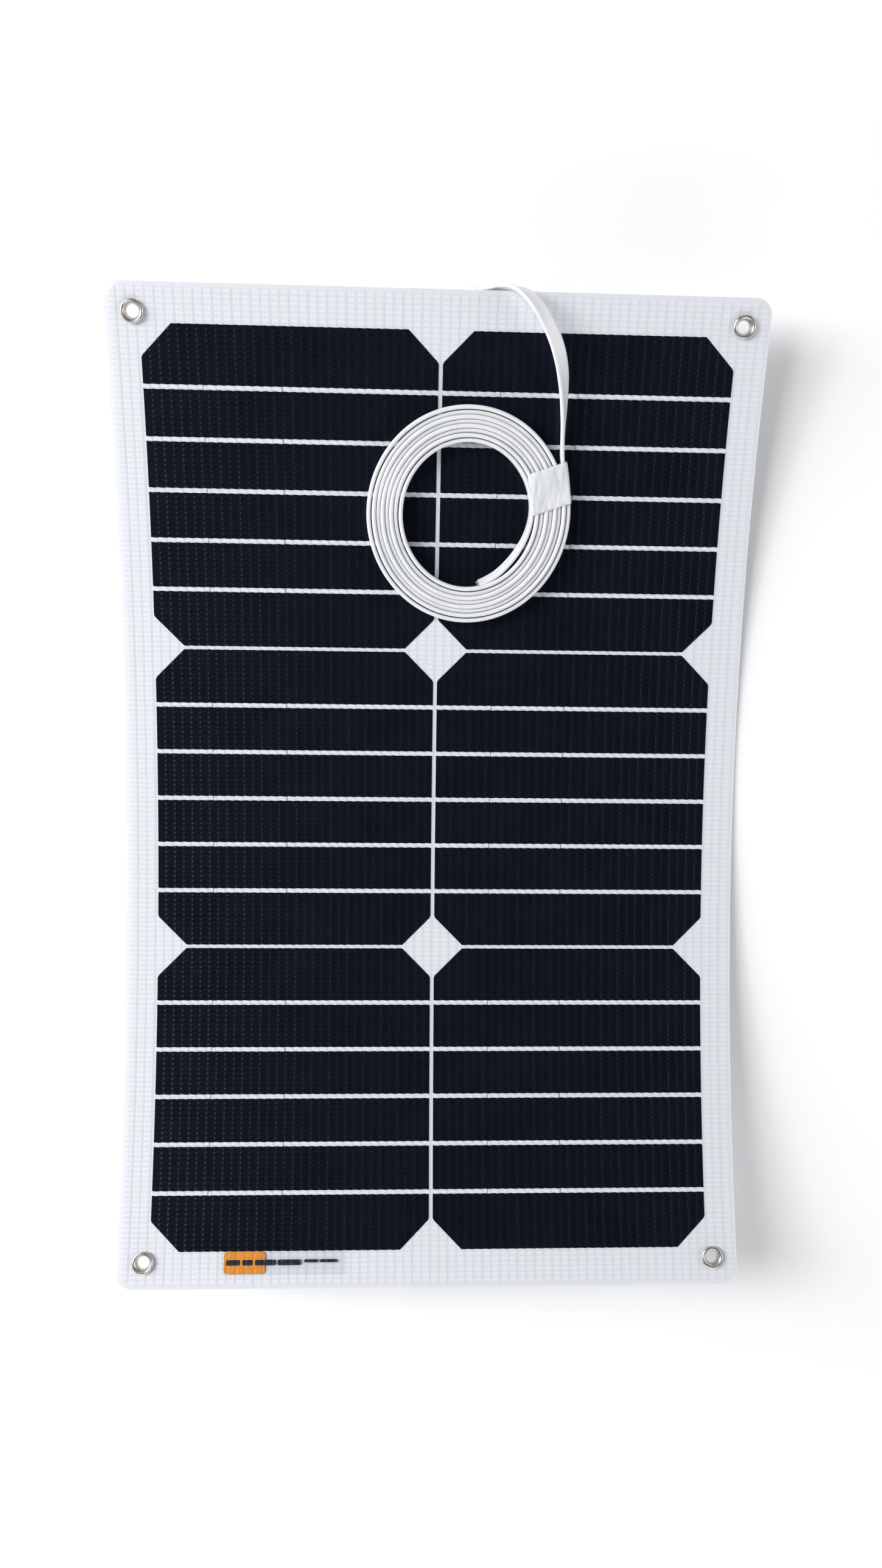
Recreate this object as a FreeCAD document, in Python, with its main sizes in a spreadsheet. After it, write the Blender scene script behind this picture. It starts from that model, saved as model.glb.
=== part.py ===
import FreeCAD, Part

import math
import os

# A flexible solar sheet at rest on a table: a laminate of film, filler, cell strips and back sheet,
# bent to one even arc about an axis along X, face up. Millimetres, +Z up, +Y towards the end with
# the junction box, +X across. The origin is at the table, under the middle of the sheet's outline.
#
# Three numbers place anything on the bent sheet: x across, the distance along the front face from
# the sheet's middle (positive towards +Y), and the height above the front face.

DRIVING = [
    ("sheet_width", 280.0),
    ("sheet_length", 440.0),
    ("corner_round", 7.5),
    ("front_radius", 723.0),      # bend radius of the front face
    ("balance_shift", 20.0),      # from the sheet's middle to the line that it rests on
    ("film_thick", 0.3),
    ("front_fill_thick", 0.35),
    ("cell_thick", 0.2),
    ("link_thick", 0.15),
    ("rear_fill_thick", 0.4),
    ("back_sheet_thick", 0.8),
    ("hinge_gap", 0.3),           # between one slice of the sheet and the next
    ("cell_width", 125.0),
    ("end_strip", 24.0),
    ("middle_strip", 19.25),
    ("strip_gap", 2.0),
    ("row_gap", 1.6),
    ("column_gap", 1.8),
    ("corner_cut", 13.0),
    ("tab_width", 6.0),
    ("tab_reach", 3.0),           # how far a tab lies behind each of the strips that it joins
    ("tab_inset", 25.0),          # from a cell's side to its outer tabs
    ("ribbon_width", 5.0),
    ("ribbon_inset", 4.0),        # from an end strip's outer edge to the ribbon behind it
    ("eyelet_inset", 11.5),
    ("eyelet_bore", 2.7),
    ("eyelet_barrel", 3.2),
    ("eyelet_hole", 3.3),
    ("eyelet_rim", 4.75),
    ("eyelet_head", 0.7),
    ("washer_thick", 0.5),
    ("curl_rim", 4.1),
    ("curl_thick", 0.6),
    ("label_thick", 0.1),
    ("label_left", -93.0),
    ("label_width", 54.5),
    ("label_base", -214.0),
    ("label_height", 10.2),
    ("box_across", 4.0),          # the junction box's middle
    ("box_along", 180.0),
    ("box_width", 56.0),
    ("box_length", 40.0),
    ("box_depth", 5.8),
    ("box_wall", 1.8),
    ("box_round", 5.0),
    ("lid_thick", 1.4),
    ("pad_thick", 0.8),
    ("pad_margin", 2.0),
    ("diode_radius", 1.4),
    ("diode_length", 9.0),
    ("terminal_width", 7.0),
    ("terminal_length", 9.0),
    ("terminal_height", 2.2),
    ("relief_length", 8.0),
    ("relief_root", 3.3),
    ("relief_tip", 2.9),
    ("cable_width", 5.8),
    ("cable_thick", 1.95),
    ("turn_pitch", 2.03),
    ("turn_count", 8.0),
    ("coil_across", 13.3),        # the coil's middle
    ("coil_along", 128.3),
    ("coil_lift", 3.2),
    ("coil_half_width", 44.6),
    ("coil_half_length", 46.8),
    ("tail_across", 8.6),         # from the coil's middle to the middle of the loose inner end
    ("tail_along", -28.4),
    ("tail_length", 12.0),
    ("tail_turn", 10.0),
    ("core_radius", 0.55),
    ("core_spacing", 2.6),
    ("core_bare", 1.2),
    ("tape_across", 34.8),
    ("tape_along", 11.7),
    ("tape_turn", 17.0),
    ("tape_length", 17.5),
    ("tape_room", 17.4),
    ("tape_thick", 0.3),
]

# The cable's way from the strain relief over the sheet's edge to the coil, as
# (x, distance along the front face, height above the front face).
LEAD_ROUTE = [
    (11.0, 226.0, -8.5),
    (20.0, 230.5, -3.0),
    (29.0, 232.0, 4.0),
    (38.0, 229.0, 10.5),
    (45.5, 221.0, 14.0),
    (51.0, 209.0, 14.0),
    (54.0, 195.0, 11.5),
    (55.2, 180.0, 8.8),
    (55.6, 165.0, 7.0),
    (54.6, 150.0, 5.8),
]
ARC_SHARE = 0.45                  # how much of its shorter run each bend takes

LAYERS = ["film_thick", "front_fill_thick", "cell_thick", "link_thick", "rear_fill_thick",
          "back_sheet_thick"]
FRONT, FILM_BACK, CELL_FRONT, CELL_BACK, LINK_BACK, FILL_BACK, BACK = range(7)

ROW_PITCH = ("(2 * params.end_strip + 4 * params.middle_strip + 5 * params.strip_gap"
             " + params.row_gap)")
CELL_EDGE = "(params.column_gap / 2 + params.cell_width)"
SLICES = ["bottom", "lower", "below_middle", "above_middle", "upper", "top"]

doc = FreeCAD.newDocument("flexible_solar_sheet")
params = doc.addObject("Spreadsheet::Sheet", "params")
parts = []


def fill_sheet():
    for row, (alias, value) in enumerate(DRIVING, start=1):
        params.set(f"A{row}", alias)
        params.set(f"B{row}", str(value))
        params.setAlias(f"B{row}", alias)
    doc.recompute()


def size(alias):
    return float(params.get(alias))


def add(kind, name, **bound):
    """A new object of the document whose properties follow the expressions given."""
    made = doc.addObject(kind, name)
    for prop, expression in bound.items():
        made.setExpression(prop, expression)
    return made


def radius(level):
    """The bend radius of a face between two layers, counted from the front."""
    return "(" + " + ".join(["params.front_radius"] + [f"params.{a}" for a in LAYERS[:level]]) + ")"


def turn(along):
    """The angle in degrees that a distance along the front face takes up."""
    return f"(({along}) / params.front_radius * 180 / pi)"


def cradle():
    """Places the bent sheet, drawn about its bend axis, on the table with its outline centred."""
    top = turn("params.sheet_length / 2 - params.balance_shift")
    bottom = turn("params.sheet_length / 2 + params.balance_shift")
    return (f"placement(vector(0; {radius(BACK)} * (sin({bottom}) - sin({top})) / 2;"
            f" {radius(BACK)}); rotationx(-{turn('params.balance_shift')}))")


def on_sheet(across, along, outwards, spin="0"):
    """A frame on the sheet: Z towards the front, its origin at a radius from the bend axis."""
    return (f"placement(vector(0; 0; 0); rotationx({turn(along)}))"
            f" * placement(vector({across}; 0; -({outwards})); rotationz({spin}))")


def group(name, members):
    made = add("Part::Compound", name)
    made.Links = members
    return made


def cut(name, base, tool):
    made = add("Part::Cut", name)
    made.Base = base
    made.Tool = tool
    return made


def fuse(name, members):
    made = add("Part::MultiFuse", name)
    made.Shapes = members
    return made


def part(made, label, placement=None):
    """Marks an object as a finished sub-part and puts it in its place."""
    made.Label = label
    made.setExpression("Placement", placement or cradle())
    parts.append(made)
    return made


def block(name, length, width, height, centre=("0", "0", "0")):
    """A box centred in X and Y on a point, with its underside at the point's height."""
    made = add("Part::Box", name, Length=length, Width=width, Height=height)
    made.setExpression("Placement", f"placement(vector({centre[0]} - ({length}) / 2;"
                                    f" {centre[1]} - ({width}) / 2; {centre[2]}); rotationx(0))")
    return made


def disc(name, round_radius, height, base="0", placement=None):
    made = add("Part::Cylinder", name, Radius=round_radius, Height=height)
    made.setExpression("Placement", placement or f"placement(vector(0; 0; {base}); rotationx(0))")
    return made


def sector(name, level, low, high, left, right):
    """A full wedge of the cylinder of one layer's outer face, from low to high and left to right."""
    made = add("Part::Cylinder", name, Radius=radius(level), Height=f"({right}) - ({left})",
               Angle=turn(f"({high}) - ({low})"))
    made.setExpression("Placement", f"placement(vector({left}; 0; 0);"
                                    f" rotationx({turn(low)}) * rotationy(90))")
    return made


def core(name, level):
    """The whole cylinder inside one face, cut away to leave only the layers outside it."""
    made = add("Part::Cylinder", name, Radius=radius(level), Height="params.sheet_width + 20")
    made.setExpression("Placement", "placement(vector(-params.sheet_width / 2 - 10; 0; 0);"
                                    " rotationy(90))")
    return made


def slice_limits(index):
    """Where one slice of the sheet starts and ends, along the front face."""
    lines = ["-params.sheet_length / 2"]
    lines += [f"{k} / 2 * {ROW_PITCH}" for k in (-2, -1, 0, 1, 2)]
    lines += ["params.sheet_length / 2"]
    low = lines[index] + (" + params.hinge_gap / 2" if index > 0 else "")
    high = lines[index + 1] + (" - params.hinge_gap / 2" if index < 5 else "")
    return low, high


def row_border(index):
    """The row's border that a slice's half row starts from, and the way to its middle."""
    toward = 1 if index % 2 == 0 else -1
    return f"({index // 2 - 1.5 + (toward < 0)}) * {ROW_PITCH}", toward


def from_border(index, near, far):
    """The stretch between two distances from a half row's border, in rising order."""
    border, toward = row_border(index)
    if toward > 0:
        return f"{border} + ({near})", f"{border} + ({far})"
    return f"{border} - ({far})", f"{border} - ({near})"


def strip_distances():
    """Distances of the three strips' edges from their half row's border."""
    first = "params.row_gap / 2"
    spans = []
    for width in ("params.end_strip", "params.middle_strip", "params.middle_strip"):
        spans.append((first, f"{first} + {width}"))
        first = f"{first} + {width} + params.strip_gap"
    return spans


def round_corners(base, index):
    """Rounds the two outer corners of an end slice: its longest radial edges at the free end."""
    made = doc.addObject("Part::Fillet", base.Name + "_rounded")
    made.Base = base
    doc.recompute()
    free_end = -1 if index == 0 else 1
    limit = math.degrees(size("sheet_length") / 2 / size("front_radius"))
    chosen = []
    for number, edge in enumerate(base.Shape.Edges, start=1):
        first, last = edge.Vertexes[0].Point, edge.Vertexes[-1].Point
        angle = math.degrees(math.atan2(first.y, -first.z))
        across = abs(first.x - last.x)
        along = abs(first.y * last.z - first.z * last.y)
        at_side = abs(abs(first.x) - size("sheet_width") / 2) < 0.01
        if at_side and across < 0.01 and along < 0.01 and abs(angle - free_end * limit) < 0.01:
            chosen.append((number, size("corner_round"), size("corner_round")))
    if len(chosen) != 2:
        raise SystemExit(f"{base.Name}: {len(chosen)} corners to round")
    made.Edges = chosen
    return made


def eyelet_places(index):
    """Where the two eyelets of an end slice are."""
    along = "(params.sheet_length / 2 - params.eyelet_inset)"
    if index == 0:
        along = "-" + along
    half = "(params.sheet_width / 2 - params.eyelet_inset)"
    return [("-" + half, along), (half, along)]


def finish_layer(base, index, label):
    """Rounds and pierces an end slice's layer, and makes the layer a sub-part."""
    if index in (0, 5):
        rounded = round_corners(base, index)
        drills = []
        for number, (across, along) in enumerate(eyelet_places(index)):
            drills.append(disc(f"{label}_drill_{number}", "params.eyelet_hole", "30",
                               placement=on_sheet(across, along, "params.front_radius + 15")))
        base = cut(label, rounded, group(label + "_drills", drills))
    return part(base, label)


def make_layer(index, name, front, back):
    """One even layer of one slice."""
    label = f"{name}_{SLICES[index]}"
    low, high = slice_limits(index)
    half = "params.sheet_width / 2"
    outer = sector(label + "_outer", back, low, high, "-" + half, half)
    return finish_layer(cut(label + "_slab", outer, core(label + "_core", front)), index, label)


def make_front_filler(index):
    """The filler over the cells, which also frames them at the sheet's sides and ends."""
    label = f"front_filler_{SLICES[index]}"
    low, high = slice_limits(index)
    half = "params.sheet_width / 2"
    outer = sector(label + "_outer", LINK_BACK, low, high, "-" + half, half)
    slab = cut(label + "_slab", outer, core(label + "_core", FILM_BACK))
    cells_low, cells_high = from_border(index, "-1" if index not in (0, 5) else "params.row_gap / 2",
                                        f"{ROW_PITCH} / 2 + 1")
    pocket_outer = sector(label + "_pocket_outer", BACK, cells_low, cells_high,
                          "-" + CELL_EDGE, CELL_EDGE)
    pocket = cut(label + "_pocket", pocket_outer, core(label + "_pocket_core", CELL_FRONT))
    return finish_layer(cut(label + "_frame", slab, pocket), index, label)


def make_cell_strips(index):
    """The six strips of one half row, three of each cell, with the cells' cut corners."""
    label = f"cell_strips_{SLICES[index]}"
    strips = []
    for row, (near, far) in enumerate(strip_distances()):
        low, high = from_border(index, near, far)
        for side, (left, right) in (("left", ("-" + CELL_EDGE, "-params.column_gap / 2")),
                                    ("right", ("params.column_gap / 2", CELL_EDGE))):
            strips.append(sector(f"{label}_{side}_{row}", CELL_BACK, low, high, left, right))
    corner_line = from_border(index, "params.row_gap / 2", "params.row_gap / 2")[0]
    diamonds = []
    for number, (across, reach) in enumerate((("-" + CELL_EDGE, "params.corner_cut"),
                                              ("0", "params.corner_cut + params.column_gap / 2"),
                                              (CELL_EDGE, "params.corner_cut"))):
        diamond = add("Part::Prism", f"{label}_diamond_{number}", Circumradius=reach, Height="10")
        diamond.Polygon = 4
        diamond.setExpression("Placement", on_sheet(across, corner_line, "params.front_radius + 5"))
        diamonds.append(diamond)
    tools = group(label + "_tools", diamonds + [core(label + "_core", CELL_FRONT)])
    return part(cut(label, group(label + "_blanks", strips), tools), label)


def make_cell_tabs(index):
    """The tabs behind the cells that join each strip to the next, cut where the slices part."""
    label = f"cell_tabs_{SLICES[index]}"
    spans = strip_distances()
    stretches = [(f"{spans[k][1]} - params.tab_reach", f"{spans[k + 1][0]} + params.tab_reach")
                 for k in (0, 1)]
    stretches.append((f"{spans[2][1]} - params.tab_reach",
                      f"{ROW_PITCH} / 2 - params.hinge_gap / 2"))
    if index not in (0, 5):
        stretches.append(("params.hinge_gap / 2", "params.row_gap / 2 + params.tab_reach"))
    tabs = []
    for cell, cell_left in enumerate(("-" + CELL_EDGE, "params.column_gap / 2")):
        for spot, middle in enumerate(("params.tab_inset", "params.cell_width / 2",
                                       "params.cell_width - params.tab_inset")):
            for number, (near, far) in enumerate(stretches):
                low, high = from_border(index, near, far)
                left = f"{cell_left} + {middle} - params.tab_width / 2"
                tabs.append(sector(f"{label}_{cell}_{spot}_{number}", LINK_BACK, low, high,
                                   left, f"{left} + params.tab_width"))
    return part(cut(label, group(label + "_strips", tabs), core(label + "_core", CELL_BACK)), label)


def make_ribbons(index, label, stretches):
    """Flat ribbons behind the end strips, across the sheet."""
    low, high = from_border(index, "params.row_gap / 2 + params.ribbon_inset",
                            "params.row_gap / 2 + params.ribbon_inset + params.ribbon_width")
    ribbons = [sector(f"{label}_{number}", LINK_BACK, low, high, left, right)
               for number, (left, right) in enumerate(stretches)]
    return part(cut(label, group(label + "_strips", ribbons), core(label + "_core", CELL_BACK)),
                label)


def rounded_disc(name, rim, thick, base):
    """A disc with a fully rounded rim."""
    edge = add("Part::Torus", name + "_rim", Radius1=f"{rim} - {thick} / 2", Radius2=f"{thick} / 2")
    edge.setExpression("Placement", f"placement(vector(0; 0; {base} + {thick} / 2); rotationx(0))")
    return fuse(name, [disc(name + "_middle", f"{rim} - {thick} / 2", thick, base), edge])


def make_eyelets(index):
    """The two eyelets of an end slice: head in front, barrel through the sheet, curl behind."""
    depth = f"({radius(BACK)} - params.front_radius)"
    whole = f"({depth} + params.washer_thick + params.curl_thick + params.eyelet_head)"
    curl_base = f"-({depth} + params.washer_thick + params.curl_thick)"
    label = f"eyelets_{SLICES[index]}"
    eyelets = []
    washers = []
    for number, (across, along) in enumerate(eyelet_places(index)):
        name = f"{label}_{number}"
        head = rounded_disc(name + "_head", "params.eyelet_rim", "params.eyelet_head", "0")
        curl = rounded_disc(name + "_curl", "params.curl_rim", "params.curl_thick", curl_base)
        barrel = disc(name + "_barrel", "params.eyelet_barrel", whole, curl_base)
        solid = fuse(name + "_solid", [head, curl, barrel])
        bore = disc(name + "_bore", "params.eyelet_bore", f"{whole} + 4", f"{curl_base} - 2")
        eyelet = cut(name, solid, bore)
        eyelet.setExpression("Placement", on_sheet(across, along, "params.front_radius"))
        eyelets.append(eyelet)
        washer_base = f"-({depth} + params.washer_thick)"
        washer = cut(name + "_washer",
                     disc(name + "_washer_disc", "params.eyelet_rim", "params.washer_thick",
                          washer_base),
                     disc(name + "_washer_hole", "params.eyelet_hole", "params.washer_thick + 2",
                          f"{washer_base} - 1"))
        washer.setExpression("Placement", on_sheet(across, along, "params.front_radius"))
        washers.append(washer)
    part(group(label, eyelets), label)
    part(group(label + "_washers", washers), f"eyelet_washers_{SLICES[index]}")


def make_label():
    right = "params.label_left + params.label_width"
    outer = sector("label_outer", FRONT, "params.label_base",
                   "params.label_base + params.label_height", "params.label_left", right)
    inner = add("Part::Cylinder", "label_core", Radius="params.front_radius - params.label_thick",
                Height="params.sheet_width")
    inner.setExpression("Placement", "placement(vector(-params.sheet_width / 2; 0; 0);"
                                     " rotationy(90))")
    return part(cut("label", outer, inner), "label")


def box_frame():
    """The junction box's frame: on the back face, Z towards the sheet."""
    return f"{cradle()} * {on_sheet('params.box_across', 'params.box_along', radius(BACK))}"


def make_box_pad():
    """The adhesive pad, flat on the box's side and curved on the sheet's."""
    pad = block("pad_block", "params.box_width - 2 * params.pad_margin",
                "params.box_length - 2 * params.pad_margin", "params.pad_thick + 2",
                ("0", "0", "-params.pad_thick"))
    bend = add("Part::Cylinder", "pad_bend", Radius=radius(BACK), Height="params.sheet_width")
    bend.setExpression("Placement", f"placement(vector(-params.sheet_width / 2; 0; {radius(BACK)});"
                                    " rotationy(90))")
    return part(cut("box_pad", pad, bend), "box_pad", box_frame())


def upright_edges(base):
    """The edges of a box that stand along Z, with the junction box's corner radius."""
    doc.recompute()
    return [(number, size("box_round"), size("box_round"))
            for number, edge in enumerate(base.Shape.Edges, start=1)
            if abs(edge.Vertexes[0].X - edge.Vertexes[-1].X) < 1e-6
            and abs(edge.Vertexes[0].Y - edge.Vertexes[-1].Y) < 1e-6]


def rounded_block(name, *sizes):
    base = block(name + "_block", *sizes)
    made = doc.addObject("Part::Fillet", name)
    made.Base = base
    made.Edges = upright_edges(base)
    return made


def make_box_base():
    """The junction box's tray: its floor on the pad, its walls away from the sheet."""
    shell = rounded_block("base_shell", "params.box_width", "params.box_length", "params.box_depth",
                          ("0", "0", "-params.pad_thick - params.box_depth"))
    hollow = block("base_hollow", "params.box_width - 2 * params.box_wall",
                   "params.box_length - 2 * params.box_wall", "params.box_depth - params.box_wall + 1",
                   ("0", "0", "-params.pad_thick - params.box_depth - 1"))
    cable_hole = disc("base_cable_hole", "params.cable_thick", "params.box_wall + 4",
                      placement="placement(vector(0; params.box_length / 2 - params.box_wall - 2;"
                                " -params.pad_thick - params.box_depth / 2); rotationx(-90))")
    return part(cut("box_base", shell, group("base_tools", [hollow, cable_hole])), "box_base",
                box_frame())


def make_box_lid():
    plate = rounded_block("lid_plate", "params.box_width", "params.box_length", "params.lid_thick",
                          ("0", "0", "-params.pad_thick - params.box_depth - params.lid_thick"))
    lip_outer = block("lid_lip_outer", "params.box_width - 2 * params.box_wall - 0.2",
                      "params.box_length - 2 * params.box_wall - 0.2", "1",
                      ("0", "0", "-params.pad_thick - params.box_depth"))
    lip_inner = block("lid_lip_inner", "params.box_width - 4 * params.box_wall",
                      "params.box_length - 4 * params.box_wall", "3",
                      ("0", "0", "-params.pad_thick - params.box_depth - 0.0001"))
    lip = cut("lid_lip", lip_outer, lip_inner)
    return part(fuse("box_lid", [plate, lip]), "box_lid", box_frame())


def make_box_inside():
    """The bypass diode and the two output terminals on the tray's floor."""
    floor = "-params.pad_thick - params.box_wall"
    diode = disc("bypass_diode", "params.diode_radius", "params.diode_length")
    part(diode, "bypass_diode",
         f"{box_frame()} * placement(vector(-params.diode_length / 2; -6;"
         f" {floor} - params.diode_radius); rotationy(90))")
    terminals = [block(f"terminal_{number}", "params.terminal_width", "params.terminal_length",
                       "params.terminal_height", (across, "7", f"{floor} - params.terminal_height"))
                 for number, across in enumerate(("-10", "10"))]
    part(group("output_terminals", terminals), "output_terminals", box_frame())


def relief_frame():
    """At the tray's outer wall, Z along the cable's exit."""
    return (f"{box_frame()} * placement(vector(0; params.box_length / 2;"
            " -params.pad_thick - params.box_depth / 2); rotationx(-90))")


def make_strain_relief():
    """A short tapered boot outside the tray, with a stub through its wall."""
    boot = add("Part::Cone", "relief_boot", Radius1="params.relief_root",
               Radius2="params.relief_tip", Height="params.relief_length")
    stub = disc("relief_stub", "params.cable_thick - 0.05", "params.box_wall + 0.5",
                "-params.box_wall - 0.5")
    return part(fuse("strain_relief", [boot, stub]), "strain_relief", relief_frame())


def coil_frame():
    return (f"{cradle()} * "
            + on_sheet("params.coil_across", "params.coil_along",
                       "params.front_radius - params.coil_lift"))


def oval(name, inset):
    """An upright oval prism as high as the cable is wide."""
    outline = add("Part::Ellipse", name + "_outline",
                  MajorRadius=f"params.coil_half_length - ({inset})",
                  MinorRadius=f"params.coil_half_width - ({inset})")
    outline.setExpression("Placement", "placement(vector(0; 0; 0); rotationz(90))")
    made = add("Part::Extrusion", name, LengthFwd="params.cable_width")
    made.Base = outline
    made.DirMode = "Custom"
    made.Dir = FreeCAD.Vector(0, 0, 1)
    made.Solid = True
    return made


def make_coil():
    """The wound cable: an oval ring standing on the cable's narrow side, and its loose end."""
    band = "((params.turn_count - 1) * params.turn_pitch + params.cable_thick)"
    ring = cut("coil_ring", oval("coil_outer", "0"), oval("coil_inner", band))
    tail = block("coil_tail", "params.tail_length", "params.cable_thick", "params.cable_width")
    tail.setExpression("Placement",
                       "placement(vector(params.tail_across; params.tail_along; 0);"
                       " rotationz(params.tail_turn)) * placement(vector(-params.tail_length / 2;"
                       " -params.cable_thick / 2; 0); rotationz(0))")
    part(fuse("cable_coil", [ring, tail]), "cable_coil", coil_frame())
    cores = [disc(f"core_{number}", "params.core_radius", "params.core_bare",
                  placement="placement(vector(params.tail_across; params.tail_along; 0);"
                            " rotationz(params.tail_turn))"
                            " * placement(vector(-params.tail_length / 2; 0;"
                            f" params.cable_width / 2 {side} params.core_spacing / 2);"
                            " rotationy(-90))")
             for number, side in enumerate("-+")]
    part(group("cable_cores", cores), "cable_cores", coil_frame())


def make_tape():
    """Tape round the whole band of the coil, where the lead joins it."""
    outer = block("tape_outer", "params.tape_room + 2 * params.tape_thick", "params.tape_length",
                  "params.cable_width + 2 * params.tape_thick + 0.2",
                  ("0", "0", "-params.tape_thick - 0.1"))
    inner = block("tape_inner", "params.tape_room", "params.tape_length + 2",
                  "params.cable_width + 0.2", ("0", "0", "-0.1"))
    frame = (f"{coil_frame()} * placement(vector(params.tape_across; params.tape_along; 0);"
             " rotationz(params.tape_turn))")
    return part(cut("coil_tape", outer, inner), "coil_tape", frame)


def lead_points():
    """The lead's route about the bend axis: out of the strain relief, then along the route."""
    back_radius = size("front_radius") + sum(size(alias) for alias in LAYERS)
    box_angle = size("box_along") / size("front_radius")
    axis_radius = back_radius + size("pad_thick") + size("box_depth") / 2
    way_out = FreeCAD.Vector(0, math.cos(box_angle), math.sin(box_angle))
    start = FreeCAD.Vector(size("box_across"), 0, 0)
    start += FreeCAD.Vector(0, math.sin(box_angle), -math.cos(box_angle)) * axis_radius
    start += way_out * (size("box_length") / 2 + size("relief_length"))
    points = [start, start + way_out * (1.7 * size("cable_width"))]
    for across, along, height in LEAD_ROUTE:
        angle = along / size("front_radius")
        reach = size("front_radius") - height
        points.append(FreeCAD.Vector(across, reach * math.sin(angle), -reach * math.cos(angle)))
    return points


def rounded_path(points):
    """Straight runs joined by tangent arcs, each as large as its two runs allow."""
    edges = []
    radii = []
    last = points[0]
    for before, corner, after in zip(points, points[1:], points[2:]):
        way_in = (corner - before).normalize()
        way_out = (after - corner).normalize()
        half_turn = way_in.getAngle(way_out) / 2
        trim = ARC_SHARE * min((corner - before).Length, (after - corner).Length)
        bend = trim / math.tan(half_turn)
        arc_start = corner - way_in * trim
        arc_end = corner + way_out * trim
        inward = (way_out - way_in).normalize()
        middle = corner + inward * (bend / math.cos(half_turn) - bend)
        edges.append(Part.LineSegment(last, arc_start).toShape())
        edges.append(Part.Arc(arc_start, middle, arc_end).toShape())
        radii.append(bend)
        last = arc_end
    edges.append(Part.LineSegment(last, points[-1]).toShape())
    return Part.Wire(edges), radii


def make_lead():
    """The uncoiled stretch of cable, as a plain tube as thick as the cable is wide."""
    points = lead_points()
    path, radii = rounded_path(points)
    half = size("cable_width") / 2
    section = Part.Wire([Part.Circle(points[0], points[1] - points[0], half).toShape()])
    tube = path.makePipeShell([section], True, False)
    expected = math.pi * half ** 2 * path.Length
    print("lead length", round(path.Length, 1), "radii", [round(r, 1) for r in radii])
    print("lead volume over section times length", round(tube.Volume / expected, 4))
    made = doc.addObject("Part::Feature", "cable_lead")
    made.Shape = tube
    return part(made, "cable_lead")


def check_and_write():
    doc.recompute()
    for thing in doc.Objects:
        if "Invalid" in thing.State or "Error" in thing.State:
            raise SystemExit(f"{thing.Name}: {thing.State}")
    for made in parts:
        if made.Shape.isNull() or not made.Shape.isValid() or not made.Shape.Solids:
            raise SystemExit(f"{made.Label} is not a valid solid")
    os.makedirs("parts", exist_ok=True)
    for made in parts:
        made.Shape.exportStep(f"parts/{made.Label}.step")
    print(len(parts), "sub-parts written")


def build():
    fill_sheet()
    for index in range(len(SLICES)):
        make_layer(index, "front_film", FRONT, FILM_BACK)
        make_front_filler(index)
        make_cell_strips(index)
        make_cell_tabs(index)
        make_layer(index, "rear_filler", LINK_BACK, FILL_BACK)
        make_layer(index, "back_sheet", FILL_BACK, BACK)
    make_ribbons(0, "cross_ribbon", [("-params.cell_width * 0.8", "params.cell_width * 0.8")])
    make_ribbons(5, "output_ribbons", [("-params.cell_width * 0.8", "params.box_across - 4"),
                                       ("params.box_across + 4", "params.cell_width * 0.8")])
    make_eyelets(0)
    make_eyelets(5)
    make_label()
    make_box_pad()
    make_box_base()
    make_box_lid()
    make_box_inside()
    make_strain_relief()
    make_coil()
    make_tape()
    make_lead()
    check_and_write()


build()
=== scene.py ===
import math

import bpy
import numpy as np
from mathutils import Matrix, Vector


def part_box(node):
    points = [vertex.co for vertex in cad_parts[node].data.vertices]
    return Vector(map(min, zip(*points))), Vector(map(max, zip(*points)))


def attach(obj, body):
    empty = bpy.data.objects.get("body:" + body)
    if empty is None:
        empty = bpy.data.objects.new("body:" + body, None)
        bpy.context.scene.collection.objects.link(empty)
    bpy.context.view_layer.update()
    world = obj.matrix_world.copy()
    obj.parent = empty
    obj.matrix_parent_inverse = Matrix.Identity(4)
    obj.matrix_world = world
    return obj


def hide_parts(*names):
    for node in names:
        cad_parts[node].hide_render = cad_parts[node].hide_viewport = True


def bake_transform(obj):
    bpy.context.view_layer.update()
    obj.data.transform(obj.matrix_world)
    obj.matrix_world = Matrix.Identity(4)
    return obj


# The looks of a flexible solar sheet: an embossed clear film over dark cell strips and a white
# layer, bent to one even arc, with four eyelets, a flat white cable wound on its front and a
# junction box behind. Metres, in the CAD model's frame.
#
# Three numbers place anything on the sheet: u across, s along its front face from the middle, and
# n in front of the face. Depths are negative.

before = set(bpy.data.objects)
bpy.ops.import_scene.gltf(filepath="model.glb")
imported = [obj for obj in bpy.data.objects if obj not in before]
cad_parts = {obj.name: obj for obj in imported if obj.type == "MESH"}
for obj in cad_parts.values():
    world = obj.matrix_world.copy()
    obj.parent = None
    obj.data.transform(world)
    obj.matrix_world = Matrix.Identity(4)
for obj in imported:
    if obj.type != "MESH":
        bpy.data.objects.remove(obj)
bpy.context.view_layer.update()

# The sheet
HALF_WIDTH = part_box("back_sheet_top")[1].x
HALF_LENGTH = 0.220
FRONT_RADIUS = 0.723              # bend radius of the front face
BALANCE_SHIFT = 0.020             # from the sheet's middle to the line it rests on
STACK = 0.0022                    # thickness of all layers
BACK_RADIUS = FRONT_RADIUS + STACK
CORNER = 0.0075
CONTACT_Y = BACK_RADIUS / 2 * (math.sin((HALF_LENGTH + BALANCE_SHIFT) / FRONT_RADIUS)
                               - math.sin((HALF_LENGTH - BALANCE_SHIFT) / FRONT_RADIUS))

# The cells
CELL_WIDTH = 0.125
COLUMN_GAP = 0.0018
ROW_GAP = 0.0016
STRIP_GAP = 0.0020
STRIP_WIDTHS = (0.0240, 0.01925, 0.01925)
CORNER_CUT = 0.013
ROW_PITCH = 2 * sum(STRIP_WIDTHS) + 5 * STRIP_GAP + ROW_GAP
ROW_MIDDLES = (-ROW_PITCH, 0.0, ROW_PITCH)

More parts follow.
